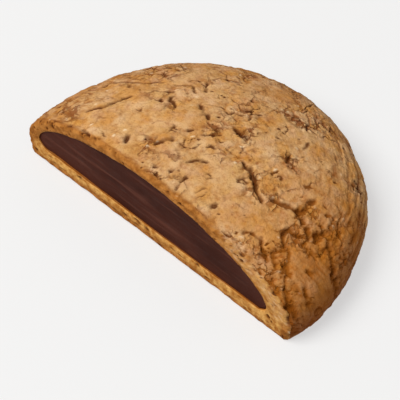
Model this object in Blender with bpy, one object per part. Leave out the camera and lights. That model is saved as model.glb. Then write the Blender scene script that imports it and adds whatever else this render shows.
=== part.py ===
"""A round, domed, filled cookie, cut straight down a little to one side of its middle. This is the larger
piece, lying on its flat base. Its baked dough is one solid: a dome with a crackled skin, hollowed out by the
filling, which shows in the cut. The chocolate filling is the other solid, and it lies in that hollow.

The frame: metres, +Z up. The origin is on the base, on the axis of the round cookie. The cut face looks
along -Y."""

import math

import bmesh
import bpy
import numpy as np

# The whole cookie, before it was cut.
COOKIE_RADIUS = 0.0310
COOKIE_HEIGHT = 0.0163
BULGE_HEIGHT = 0.0038  # height at which it is widest
BASE_RADIUS = 0.0302  # flat part that it rests on
DOME_POWER = 2.1  # 2 is an ellipse, and more is squarer in the shoulder

# How the plan differs from a circle: a direction and a spread in degrees, and a share of the radius.
OUT_OF_ROUND = ((-8, 20, 0.036), (150, 25, -0.032), (175, 18, -0.019), (194, 12, 0.012))

# The knife's plane, and the dough round the filling.
CUT_Y = -0.0071
FLOOR_THICKNESS = 0.0030
ROOF_THICKNESS = 0.0016
WALL_THICKNESS = 0.0034
FILLING_SHIFT = -0.0009  # the filling sits a little off the middle, towards -X
FILLING_POWER = 1.8  # under 2, so that it comes to thinner edges than an ellipse
FILLING_EDGE_HEIGHT = 0.0017  # height above the floor at which the filling is widest
FILLING_RECESS = 0.0005  # the filling pulls back from the knife's plane
CLEARANCE = 0.0003  # between the two solids, which touch in the real cookie

# How the unit sphere is shared out between the dome, the side under its bulge and the base.
BULGE_LATITUDE = math.radians(-10)
BASE_LATITUDE = math.radians(-22)
DOME_SUBDIVISIONS = 6
HOLLOW_SUBDIVISIONS = 4
SHARP_ANGLE = math.radians(50)  # an edge that turns by more than this stays sharp
SAME_PLACE = 1e-6  # closer than this is on the knife's plane
ON_THE_BASE = 1e-7  # lower than this is on the base

# Relief of the crackled skin. A seed picks the pattern of a noise.
LUMP_SIZE, LUMP_SEED = 0.019, 61
LUMP_HEIGHT = 0.00032
SWELL_SIZE, SWELL_SEED = 0.0065, 65
SWELL_HEIGHT = 0.00013
BROKEN_SIZE, BROKEN_SEED = 0.0095, 51
BROKEN_FROM, BROKEN_TO = -0.3, 0.7  # noise at which the skin starts to sink, and at which it is down
BROKEN_DEPTH = 0.00020
RELIEF_FADE_HEIGHT = 0.0016

# Colours of a shader, red, green and blue, and roughness.
DOUGH_COLOUR, DOUGH_ROUGHNESS = (0.58, 0.33, 0.13), 0.85
CHOCOLATE_COLOUR, CHOCOLATE_ROUGHNESS = (0.055, 0.020, 0.012), 0.45

# Bold cracks, each a line on the plan of the dome and its half-width and depth. A crack is deepest within the
# first share of its half-width, and it ends at the second.
CRACK_FLOOR, CRACK_END = 0.2, 1.7
CRACKS = (
    (((-0.0173, 0.0051), (-0.0183, 0.0021), (-0.0190, -0.0006), (-0.0204, -0.0018)), 0.0004, 0.0005),
    (((-0.0116, 0.0093), (-0.0093, 0.0076)), 0.0004, 0.0005),
    (((-0.0051, -0.0011), (-0.0044, 0.0004), (-0.0036, 0.0016)), 0.0005, 0.0006),
    (((-0.0003, 0.0059), (0.0012, 0.0078)), 0.0004, 0.0005),
    (((0.0019, 0.0108), (0.0051, 0.0097)), 0.0006, 0.0006),
    (
        ((0.0079, 0.0063), (0.0102, 0.0058), (0.0118, 0.0049), (0.0136, 0.0035), (0.0153, 0.0028)),
        0.0006,
        0.0009,
    ),
    (((0.0162, 0.0045), (0.0175, 0.0048), (0.0194, 0.0059), (0.0209, 0.0063)), 0.0005, 0.0007),
    (((0.0207, 0.0073), (0.0202, 0.0089), (0.0202, 0.0102)), 0.0005, 0.0006),
    (
        ((0.0213, 0.0014), (0.0219, 0.0028), (0.0234, 0.0031), (0.0245, 0.0044), (0.0252, 0.0076)),
        0.0005,
        0.0007,
    ),
    (((0.0176, -0.0037), (0.0190, -0.0025), (0.0207, -0.0027), (0.0227, -0.0037)), 0.0005, 0.0007),
    (((0.0258, -0.0027), (0.0270, -0.0037), (0.0283, -0.0049)), 0.0005, 0.0006),
    (((0.0272, 0.0067), (0.0290, 0.0057), (0.0301, 0.0046)), 0.0005, 0.0006),
)


def lattice_random(cells, seed):
    """A number from 0 to 1 for each whole-numbered cell of a grid, always the same for the same seed."""
    x, y, z = np.moveaxis(cells.astype(np.int64), -1, 0)
    mixed = (x * 73856093 ^ y * 19349663 ^ z * 83492791 ^ seed * 40503) & 0xFFFFFFFF
    mixed = ((mixed ^ (mixed >> 15)) * 2246822519) & 0xFFFFFFFF
    mixed = ((mixed ^ (mixed >> 13)) * 3266489917) & 0xFFFFFFFF
    return (mixed ^ (mixed >> 16)) / 2.0**32


def smooth_noise(points, size, seed):
    """Gradient noise, about -1 to 1: each corner of a grid of cubes has a random slope, blended across it."""
    scaled = points / size
    corner_cell = np.floor(scaled).astype(np.int64)
    inside = scaled - corner_cell
    fade = inside**3 * (inside * (inside * 6 - 15) + 10)
    total = np.zeros(points.shape[:-1])
    for corner in np.ndindex(2, 2, 2):
        cell = corner_cell + corner
        slope = np.stack([lattice_random(cell, seed + k) for k in range(3)], -1) * 2 - 1
        weight = np.prod(np.where(corner, fade, 1 - fade), axis=-1)
        total += weight * ((inside - corner) * slope).sum(-1)
    return 1.6 * total


def ramp(values, low, high):
    """0 below low, 1 above high, and a smooth step between them."""
    t = np.clip((values - low) / (high - low), 0, 1)
    return t * t * (3 - 2 * t)


def distance_to_line(plan, corners):
    """Distance of each point of the plan to a line through these corners."""
    nearest = np.full(len(plan), 1.0)
    for start, end in zip(np.array(corners[:-1]), np.array(corners[1:])):
        along = end - start
        share = np.clip((plan - start) @ along / (along @ along), 0, 1)
        gap = np.linalg.norm(plan - start - share[:, None] * along, axis=1)
        nearest = np.minimum(nearest, gap)
    return nearest


def dome_surface(directions, radius, base_radius, base_z, bulge_z, top_z, power):
    """Points and outward normals of a flat-based dome, one for each unit direction. Above the bulge its
    profile is a superellipse, under it a parabola that pulls in to the rim of the flat base."""
    latitude = np.arcsin(np.clip(directions[:, 2], -1, 1))
    flat_length = np.maximum(np.linalg.norm(directions[:, :2], axis=1), 1e-9)
    round_the_axis = directions[:, :2] / flat_length[:, None]
    rise = np.clip((latitude - BULGE_LATITUDE) / (math.pi / 2 - BULGE_LATITUDE), 0, 1) * math.pi / 2
    under = np.clip((BULGE_LATITUDE - latitude) / (BULGE_LATITUDE - BASE_LATITUDE), 0, 1)
    inwards = np.clip((BASE_LATITUDE - latitude) / (BASE_LATITUDE + math.pi / 2), 0, 1)
    above, flat = latitude >= BULGE_LATITUDE, latitude < BASE_LATITUDE
    top = np.cos(rise) ** (2 / power), np.sin(rise) ** (2 / power)
    overhang, height, skirt = radius - base_radius, top_z - bulge_z, bulge_z - base_z
    out = np.where(above, radius * top[0], (radius - overhang * under**2) * (1 - inwards))
    z = np.where(above, bulge_z + height * top[1], bulge_z - skirt * under)
    normal_out = np.where(above, top[0] ** (power - 1) / radius, skirt)
    normal_z = np.where(above, top[1] ** (power - 1) / height, -2 * overhang * under)
    normal_out = np.where(flat, 0, normal_out)
    points = np.column_stack([round_the_axis * out[:, None], z])
    normals = np.column_stack([round_the_axis * normal_out[:, None], normal_z])
    return points, normals / np.linalg.norm(normals, axis=1)[:, None]


def crust_relief(points):
    """Height of the baked skin over the smooth dome. It is lumpy, its broken patches are sunken, and a few
    bold cracks cross it."""
    height = LUMP_HEIGHT * smooth_noise(points, LUMP_SIZE, LUMP_SEED)
    height += SWELL_HEIGHT * smooth_noise(points, SWELL_SIZE, SWELL_SEED)
    broken = ramp(smooth_noise(points, BROKEN_SIZE, BROKEN_SEED), BROKEN_FROM, BROKEN_TO)
    height -= BROKEN_DEPTH * broken
    for corners, half_width, depth in CRACKS:
        away = distance_to_line(points[:, :2], corners) / half_width
        height -= depth * (1 - ramp(away, CRACK_FLOOR, CRACK_END))
    return height * ramp(points[:, 2], 0, RELIEF_FADE_HEIGHT)


def plan_factor(points):
    """How much wider or narrower than round the cookie is in the direction of each point."""
    direction = np.degrees(np.arctan2(points[:, 1], points[:, 0]))
    factor = np.ones(len(points))
    for centre, spread, share in OUT_OF_ROUND:
        away = (direction - centre + 180) % 360 - 180
        factor += share * np.exp(-((away / spread) ** 2))
    return factor


def crust_surface(directions):
    """The crackled outside of the dough."""
    points, normals = dome_surface(
        directions, COOKIE_RADIUS, BASE_RADIUS, 0.0, BULGE_HEIGHT, COOKIE_HEIGHT, DOME_POWER
    )
    points[:, :2] *= plan_factor(points)[:, None]
    return points + normals * crust_relief(points)[:, None]


def filling_surface(directions, shrink):
    """The filling's outside, or with no shrink the hollow that it lies in."""
    radius = COOKIE_RADIUS - WALL_THICKNESS
    edge_z = FLOOR_THICKNESS + FILLING_EDGE_HEIGHT
    top_z = COOKIE_HEIGHT - ROOF_THICKNESS
    points, normals = dome_surface(
        directions, radius, radius - FILLING_EDGE_HEIGHT, FLOOR_THICKNESS, edge_z, top_z, FILLING_POWER
    )
    points[:, 0] += FILLING_SHIFT
    return points - normals * shrink


def round_body(subdivisions, surface):
    """A ball of even triangles, pulled on to a surface that gives a point for each direction."""
    bm = bmesh.new()
    bmesh.ops.create_icosphere(bm, subdivisions=subdivisions, radius=1.0)
    directions = np.array([v.co for v in bm.verts])
    directions /= np.linalg.norm(directions, axis=1)[:, None]
    for vert, point in zip(bm.verts, surface(directions)):
        vert.co = point
    return bm


def cut_at(bm, plane_y):
    """Removes what lies in front of the knife's plane, and closes the cut with one flat face."""
    everything = bm.verts[:] + bm.edges[:] + bm.faces[:]
    bmesh.ops.bisect_plane(
        bm,
        geom=everything,
        dist=SAME_PLACE,
        plane_co=(0, plane_y, 0),
        plane_no=(0, -1, 0),
        clear_outer=True,
    )
    rim = [edge for edge in bm.edges if edge.is_boundary]
    bmesh.ops.edgeloop_fill(bm, edges=rim)
    bmesh.ops.recalc_face_normals(bm, faces=bm.faces[:])


def flatten_base(bm):
    """Joins the many triangles of the flat base into one face."""
    base = [face for face in bm.faces if all(abs(v.co.z) < ON_THE_BASE for v in face.verts)]
    bmesh.ops.dissolve_faces(bm, faces=base, use_verts=True)


def plain_material(name, colour, roughness):
    """A matt food surface of one colour."""
    material = bpy.data.materials.new(name)
    material.use_nodes = True
    shader = material.node_tree.nodes["Principled BSDF"]
    shader.inputs["Base Color"].default_value = (*colour, 1.0)
    shader.inputs["Roughness"].default_value = roughness
    shader.inputs["Metallic"].default_value = 0.0
    return material


def add_object(name, bm, material=None):
    """Links a finished body into the scene, shaded smooth but for its sharp edges."""
    mesh = bpy.data.meshes.new(name)
    bm.to_mesh(mesh)
    bm.free()
    mesh.shade_smooth()
    mesh.set_sharp_from_angle(angle=SHARP_ANGLE)
    if material:
        mesh.materials.append(material)
    obj = bpy.data.objects.new(name, mesh)
    bpy.context.scene.collection.objects.link(obj)
    return obj


def build_crust():
    """The dough: the crackled dome, cut, with the hollow of the filling taken out of it."""
    bm = round_body(DOME_SUBDIVISIONS, crust_surface)
    cut_at(bm, CUT_Y)
    flatten_base(bm)
    crust = add_object("crust", bm, plain_material("baked_dough", DOUGH_COLOUR, DOUGH_ROUGHNESS))
    hollow_form = round_body(HOLLOW_SUBDIVISIONS, lambda directions: filling_surface(directions, 0.0))
    hollow = add_object("hollow_cutter", hollow_form)
    hollow.hide_render = True
    hollow.display_type = "WIRE"
    boolean = crust.modifiers.new("hollow", "BOOLEAN")
    boolean.operation = "DIFFERENCE"
    boolean.object = hollow


def build_filling():
    """The chocolate: a shallow lens on a flat floor, cut just behind the dough's cut face."""
    bm = round_body(HOLLOW_SUBDIVISIONS, lambda directions: filling_surface(directions, CLEARANCE))
    cut_at(bm, CUT_Y + FILLING_RECESS)
    add_object("filling", bm, plain_material("chocolate", CHOCOLATE_COLOUR, CHOCOLATE_ROUGHNESS))


def main():
    for obj in list(bpy.data.objects):
        bpy.data.objects.remove(obj)
    build_crust()
    build_filling()


main()
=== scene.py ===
# %% [markdown]
# # A filled cookie, cut open
# The object is the larger piece of a round, domed cookie with a crackled baked skin and a dark chocolate
# filling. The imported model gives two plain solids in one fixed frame, in metres: the dough and the filling.
# This lesson dresses them. Each solid is replaced by a fine surface worked out with numpy, which follows the
# same named sizes, so that the fine cracks, pits and crumb are real geometry and not only paint.

# %% Load the frame
import math

import bpy
import numpy as np
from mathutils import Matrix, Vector


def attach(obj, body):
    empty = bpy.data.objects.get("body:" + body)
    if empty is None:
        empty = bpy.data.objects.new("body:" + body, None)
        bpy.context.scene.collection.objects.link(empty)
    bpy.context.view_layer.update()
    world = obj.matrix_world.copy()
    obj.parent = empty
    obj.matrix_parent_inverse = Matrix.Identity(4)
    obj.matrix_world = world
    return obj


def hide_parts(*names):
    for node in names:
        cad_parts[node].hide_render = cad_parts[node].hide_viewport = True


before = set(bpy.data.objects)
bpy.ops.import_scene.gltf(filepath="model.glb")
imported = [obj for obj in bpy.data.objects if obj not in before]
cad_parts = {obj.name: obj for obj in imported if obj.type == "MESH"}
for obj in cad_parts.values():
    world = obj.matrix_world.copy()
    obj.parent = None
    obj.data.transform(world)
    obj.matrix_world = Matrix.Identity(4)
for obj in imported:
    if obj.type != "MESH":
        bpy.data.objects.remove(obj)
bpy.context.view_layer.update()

# %% [markdown]
# ## Camera and light
# The photograph looks down on the cut cookie at about 49 degrees, from a side turned 44 degrees from the cut.
# A long lens half a metre away gives the weak perspective of a product picture. The light is a large soft key
# from the upper left, with a trace of fill from the right. Pale surroundings and a light table under the
# cookie keep the shadow faint, while the lower right of the dome, which turns away from the key, goes dark.

# %% Place the camera
VIEW_AZIMUTH = math.radians(44.2)
VIEW_ELEVATION = math.radians(49.0)
CAMERA_DISTANCE = 0.49
FRAME_WIDTH = 0.0675
SENSOR_WIDTH_MM = 36.0


def direction_from(azimuth, elevation):
    """Unit vector from the object towards a viewer: azimuth 0 is at -Y, and it turns towards +X."""
    flat = math.cos(elevation)
    return Vector((math.sin(azimuth) * flat, -math.cos(azimuth) * flat, math.sin(elevation)))


def aim(obj, target):
    """Turns a camera or lamp, which looks along its own -Z, towards a point."""
    obj.rotation_euler = (target - obj.location).to_track_quat("-Z", "Y").to_euler()


def add_object(name, data):
    """Links new data into the scene as an object at the origin."""
    obj = bpy.data.objects.new(name, data)
    bpy.context.scene.collection.objects.link(obj)
    return obj


look_at = Vector((0.0003, 0.0039, 0.0020))
camera = add_object("camera", bpy.data.cameras.new("camera"))
camera.data.sensor_width = SENSOR_WIDTH_MM
camera.data.lens = SENSOR_WIDTH_MM * CAMERA_DISTANCE / FRAME_WIDTH
camera.location = look_at + CAMERA_DISTANCE * direction_from(VIEW_AZIMUTH, VIEW_ELEVATION)
aim(camera, look_at)
bpy.context.scene.camera = camera
print("lens in mm", round(camera.data.lens))

# %% Light the studio
# Each lamp: azimuth, elevation, distance, side of its square, watts and colour.
LAMPS = {
    "key_light": (math.radians(-32), math.radians(58), 1.30, 0.85, 18.0, (1.0, 0.985, 0.96)),
    "fill_light": (math.radians(130), math.radians(30), 0.50, 0.40, 0.06, (1.0, 1.0, 1.0)),
}
ROOM_COLOUR = (1.0, 1.0, 1.0, 1.0)
ROOM_STRENGTH = 0.29
for lamp_name, (azimuth, elevation, distance, side, watts, colour) in LAMPS.items():
    lamp = add_object(lamp_name, bpy.data.lights.new(lamp_name, "AREA"))
    lamp.data.size = side
    lamp.data.energy = watts
    lamp.data.color = colour
    lamp.location = look_at + distance * direction_from(azimuth, elevation)
    aim(lamp, look_at)

world = bpy.data.worlds.new("pale_room")
bpy.context.scene.world = world
world.use_nodes = True
world.node_tree.nodes["Background"].inputs["Color"].default_value = ROOM_COLOUR
world.node_tree.nodes["Background"].inputs["Strength"].default_value = ROOM_STRENGTH
bpy.context.scene.view_settings.view_transform = "Standard"
print("lamps", sorted(LAMPS))

# %% [markdown]
# ## Noise and cells
# Baked dough is irregular at every scale, but the script has to give the same cookie each time. Blender's
# own noise textures could push the surface about, but numpy lets cracks, pits and flakes know of each other.
# So the randomness is a hash of whole numbers. Two tools grow from it: smooth noise, for lumps and waves, and
# scattered cells, whose borders make cracks and whose centres make pits and pale specks. Both take whole
# arrays of points at once. Every pattern has a seed of its own, so that no two of them line up.

# %% A repeatable random number for each cell
HASH_FACTORS = (73856093, 19349663, 83492791, 40503)
HASH_STIRS = ((15, 2246822519), (13, 3266489917))
LAST_SHIFT = 16
LOW_32_BITS = 0xFFFFFFFF


def lattice_random(cells, seed):
    """A number from 0 to 1 for each whole-numbered cell of a grid, always the same for the same seed."""
    x, y, z = np.moveaxis(cells.astype(np.int64), -1, 0)
    by_x, by_y, by_z, by_seed = HASH_FACTORS
    mixed = (x * by_x ^ y * by_y ^ z * by_z ^ seed * by_seed) & LOW_32_BITS
    for shift, stir in HASH_STIRS:
        mixed = ((mixed ^ (mixed >> shift)) * stir) & LOW_32_BITS
    return (mixed ^ (mixed >> LAST_SHIFT)) / 2.0**32


# %% Smooth noise
NOISE_GAIN = 1.6
FINER, FINER_SHARE = 0.4, 0.45


def smooth_noise(points, size, seed):
    """Gradient noise, about -1 to 1: each corner of a grid of cubes has a random slope, and the slopes are
    blended across the cube."""
    scaled = points / size
    corner_cell = np.floor(scaled).astype(np.int64)
    inside = scaled - corner_cell
    fade = inside**3 * (inside * (inside * 6 - 15) + 10)
    total = np.zeros(points.shape[:-1])
    for corner in np.ndindex(2, 2, 2):
        cell = corner_cell + corner
        slope = np.stack([lattice_random(cell, seed + k) for k in range(3)], -1) * 2 - 1
        weight = np.prod(np.where(corner, fade, 1 - fade), axis=-1)
        total += weight * ((inside - corner) * slope).sum(-1)
    return NOISE_GAIN * total


def pushed(points, size, reach, seed):
    """The points pushed sideways by noise at two sizes, which makes whatever is read there ragged."""
    coarse = np.stack([smooth_noise(points, size, seed + 10 * k) for k in range(3)], -1)
    fine = np.stack([smooth_noise(points, FINER * size, seed + 5 + 10 * k) for k in range(3)], -1)
    return points + reach * (coarse + FINER_SHARE * fine)


# %% Scattered cells
def nearest_cells(points, size, seed):
    """Distance to the nearest and to the second nearest of points that are scattered one to a cube, and the
    nearest's random number."""
    scaled = points / size
    home = np.floor(scaled).astype(np.int64)
    nearest = np.full(points.shape[:-1], np.inf)
    second = nearest.copy()
    number = np.zeros_like(nearest)
    for shift in np.ndindex(3, 3, 3):
        cell = home + shift - 1
        centre = cell + np.stack([lattice_random(cell, seed + k) for k in range(3)], -1)
        distance = np.linalg.norm(centre - scaled, axis=-1)
        closer = distance < nearest
        second = np.where(closer, nearest, np.minimum(second, distance))
        number = np.where(closer, lattice_random(cell, seed + 3), number)
        nearest = np.minimum(nearest, distance)
    return nearest * size, second * size, number


def ramp(values, low, high):
    """0 below low, 1 above high, and a smooth step between them."""
    t = np.clip((values - low) / (high - low), 0, 1)
    return t * t * (3 - 2 * t)


# %% [markdown]
# ## The smooth forms
# The dough slumped into a dome as it baked, a little out of round, and the chocolate in it is a lens. Both
# are flat-based domes. A lathe profile could make them, but its rows would cross the knife's plane askew.
# So a dome is a map from directions to points: a direction's latitude picks a place on the profile, which is
# a superellipse above the bulge, a parabola under it and a flat base. The directions form a grid with its
# pole at the far rim, so that rows run towards the knife's plane and columns run round it. One grid then
# covers the outside, the cut face and the hollow without a break.

# %% Named sizes, the same as the solids have
COOKIE_RADIUS = 0.0310
COOKIE_HEIGHT = 0.0163
BULGE_HEIGHT = 0.0038
BASE_RADIUS = 0.0302
DOME_POWER = 2.1
# How the plan differs from a circle: a direction and a spread in degrees, and a share of the radius.
OUT_OF_ROUND = ((-8, 20, 0.036), (150, 25, -0.032), (175, 18, -0.019), (194, 12, 0.012))
CUT_Y = -0.0071
FLOOR_THICKNESS = 0.0030
ROOF_THICKNESS = 0.0016
WALL_THICKNESS = 0.0034
FILLING_SHIFT = -0.0009
FILLING_POWER = 1.8
FILLING_EDGE_HEIGHT = 0.0017
FILLING_RECESS = 0.0005
BULGE_LATITUDE = math.radians(-10)
BASE_LATITUDE = math.radians(-22)


# %% A flat-based dome
def dome_surface(directions, radius, base_radius, base_z, bulge_z, top_z, power):
    """Points and outward normals of a flat-based dome, one for each unit direction. Above the bulge its
    profile is a superellipse, under it a parabola that pulls in to the rim of the flat base."""
    latitude = np.arcsin(np.clip(directions[..., 2], -1, 1))
    flat_length = np.maximum(np.linalg.norm(directions[..., :2], axis=-1), 1e-9)
    round_the_axis = directions[..., :2] / flat_length[..., None]
    rise = np.clip((latitude - BULGE_LATITUDE) / (math.pi / 2 - BULGE_LATITUDE), 0, 1) * math.pi / 2
    under = np.clip((BULGE_LATITUDE - latitude) / (BULGE_LATITUDE - BASE_LATITUDE), 0, 1)
    inwards = np.clip((BASE_LATITUDE - latitude) / (BASE_LATITUDE + math.pi / 2), 0, 1)
    above, flat = latitude >= BULGE_LATITUDE, latitude < BASE_LATITUDE
    top = np.cos(rise) ** (2 / power), np.sin(rise) ** (2 / power)
    overhang, height, skirt = radius - base_radius, top_z - bulge_z, bulge_z - base_z
    out = np.where(above, radius * top[0], (radius - overhang * under**2) * (1 - inwards))
    z = np.where(above, bulge_z + height * top[1], bulge_z - skirt * under)
    normal_out = np.where(above, top[0] ** (power - 1) / radius, skirt)
    normal_z = np.where(above, top[1] ** (power - 1) / height, -2 * overhang * under)
    normal_out = np.where(flat, 0, normal_out)
    points = np.concatenate([round_the_axis * out[..., None], z[..., None]], -1)
    normals = np.concatenate([round_the_axis * normal_out[..., None], normal_z[..., None]], -1)
    return points, normals / np.linalg.norm(normals, axis=-1)[..., None]


def plan_factor(points):
    """How much wider or narrower than round the cookie is in the direction of each point."""
    direction = np.degrees(np.arctan2(points[..., 1], points[..., 0]))
    factor = np.ones_like(direction)
    for centre, spread, share in OUT_OF_ROUND:
        away = (direction - centre + 180) % 360 - 180
        factor += share * np.exp(-((away / spread) ** 2))
    return factor


def crust_form(directions):
    """The smooth outside of the dough, with its normals."""
    points, normals = dome_surface(
        directions, COOKIE_RADIUS, BASE_RADIUS, 0.0, BULGE_HEIGHT, COOKIE_HEIGHT, DOME_POWER
    )
    points[..., :2] *= plan_factor(points)[..., None]
    return points, normals


def filling_form(directions, grow=0.0):
    """The hollow in the dough, a lens with a flat floor, a little off the middle. The filling is the same,
    grown."""
    radius = COOKIE_RADIUS - WALL_THICKNESS
    points, normals = dome_surface(
        directions,
        radius,
        radius - FILLING_EDGE_HEIGHT,
        FLOOR_THICKNESS,
        FLOOR_THICKNESS + FILLING_EDGE_HEIGHT,
        COOKIE_HEIGHT - ROOF_THICKNESS,
        FILLING_POWER,
    )
    points[..., 0] += FILLING_SHIFT
    return points + normals * grow, normals


# %% A grid of directions that ends at the knife's plane
HALVINGS = 40
SECTION_STEPS = 4001
FLAT_BELOW = 1e-5


def directions_at(alpha, beta):
    """Unit vectors: alpha is the angle from the far pole, +Y, and beta turns round that axis from +X over the
    top."""
    return np.stack(
        [np.sin(alpha) * np.cos(beta), np.cos(alpha) + 0 * beta, np.sin(alpha) * np.sin(beta)], -1
    )


def alpha_at_plane(form, beta, plane_y):
    """For each column, the alpha at which the form meets the plane, found by halving an interval."""
    low, high = np.zeros_like(beta), np.full_like(beta, math.pi)
    for _ in range(HALVINGS):
        middle = (low + high) / 2
        behind = form(directions_at(middle, beta))[0][..., 1] > plane_y
        low, high = np.where(behind, middle, low), np.where(behind, high, middle)
    return (low + high) / 2


def even_columns(count, base_share):
    """Angles beta that space the columns evenly along the middle section. The base gets only a share of
    them."""
    fine = np.linspace(-math.pi / 2, 1.5 * math.pi, SECTION_STEPS)
    section = crust_form(directions_at(np.full_like(fine, math.pi / 2), fine))[0]
    step = np.linalg.norm(np.diff(section, axis=0), axis=1)
    step *= np.where(section[1:, 2] < FLAT_BELOW, base_share, 1.0)
    length = np.concatenate([[0], np.cumsum(step)])
    return np.interp(np.arange(count) / count * length[-1], length, fine)


# %% [markdown]
# ## Turning rows into a mesh
# A Boolean could cut a whole cookie at the knife's plane, but it would leave slivers along the edge, just
# where the eye looks. Instead both pieces are sleeves: rows of points from one pole to another, every row a
# closed loop with the same number of columns. Four neighbours make a face, and a fan of triangles closes each
# pole. Faces that are listed the same way round all point outwards, so nothing is recalculated afterwards.


# %% A closed sleeve
def sleeve_mesh(name, rows, first_pole, last_pole):
    """A closed mesh of loops, rows[i, j], with a fan to a point at each end. Seen from outside, columns run
    clockwise round the first pole."""
    row_count, columns = rows.shape[:2]
    points = np.concatenate([rows.reshape(-1, 3), [first_pole, last_pole]])
    index = np.arange(row_count * columns).reshape(row_count, columns)
    beside = np.roll(index, -1, axis=1)
    quads = np.stack([index[:-1], index[1:], beside[1:], beside[:-1]], -1).reshape(-1, 4)
    first = np.stack([np.full(columns, len(points) - 2), index[0], beside[0]], -1)
    last = np.stack([np.full(columns, len(points) - 1), beside[-1], index[-1]], -1)
    mesh = bpy.data.meshes.new(name)
    mesh.from_pydata(points, [], quads.tolist() + first.tolist() + last.tolist())
    mesh.shade_smooth()
    return add_object(name, mesh)


def store(obj, name, rows):
    """Keeps a number for each point of a sleeve, 0 at its poles, as an attribute that the materials read."""
    values = np.concatenate([rows.ravel(), [0.0, 0.0]]).astype(np.float32)
    attribute = obj.data.attributes.new(name, "FLOAT", "POINT")
    attribute.data.foreach_set("value", values)


# %% [markdown]
# ## The skin of the dough
# In the oven the skin dries first while the dough under it goes on rising, so the skin stretches and breaks.
# Some patches stay smooth. In others it breaks into small flakes with dark gaps, pits and pale crumbs between
# them, and a few bold cracks run across. Sculpting could give all this, but not twice the same. So each of
# these is a height in metres that numpy works out, and the same masks later tell the material what it paints.

# %% Places on the plan that are more broken than the rest, or smoother: x, y, reach and strength
ZONES = (
    (0.0238, -0.0046, 0.0036, 0.42),
    (0.0235, 0.0072, 0.0042, 0.72),
    (0.0285, -0.0072, 0.0034, 0.24),
    (0.0292, 0.0044, 0.0026, 0.35),
    (0.0185, -0.0058, 0.0030, 0.06),
    (0.0100, 0.0070, 0.0034, 0.28),
    (0.0030, 0.0105, 0.0038, 0.20),
    (-0.0015, 0.0070, 0.0034, 0.20),
    (-0.0075, -0.0030, 0.0038, 0.45),
    (0.0125, 0.0125, 0.0024, 0.46),
    (0.0080, 0.0220, 0.0050, 0.25),
    (-0.0035, 0.0150, 0.0040, 0.25),
    (-0.0240, -0.0040, 0.0030, 0.20),
    (0.0279, 0.0006, 0.0030, -0.50),
    (0.0182, -0.0004, 0.0030, -0.25),
    (0.0021, -0.0040, 0.0034, -0.28),
    (0.0135, 0.0220, 0.0040, -0.35),
    (-0.0026, 0.0198, 0.0040, -0.30),
    (-0.0150, 0.0000, 0.0060, -0.60),
    (-0.0060, 0.0040, 0.0030, -0.50),
    (0.0085, 0.0000, 0.0042, -0.55),
    (0.0065, 0.0170, 0.0042, -0.60),
    (0.0175, 0.0125, 0.0040, -0.60),
)
BROKEN_MEAN = 0.29
WIDE_SIZE, WIDE_SHARE = 0.0095, 0.42
NARROW_SIZE, NARROW_SHARE = 0.35 * WIDE_SIZE, 0.26


def brokenness(points):
    """How broken the skin is, 0 to 1: noise at two sizes, and the places above, which the noise makes
    ragged."""
    amount = BROKEN_MEAN + WIDE_SHARE * smooth_noise(points, WIDE_SIZE, 51)
    amount += NARROW_SHARE * smooth_noise(points, NARROW_SIZE, 55)
    for x, y, reach, strength in ZONES:
        away = np.hypot(points[..., 0] - x, points[..., 1] - y) / reach
        amount += strength * np.exp(-(away**2))
    return np.clip(amount, 0, 1)


# %% [markdown]
# ## Bold cracks
# A bold crack opens where the crust tore while the dough still rose. Noise alone would put it anywhere, so
# the cracks that stand out are lines drawn on the plan, each with a half-width and a depth. The points are
# pushed about by noise before they are measured against a line, so its edges are ragged, as torn dough is.

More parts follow.
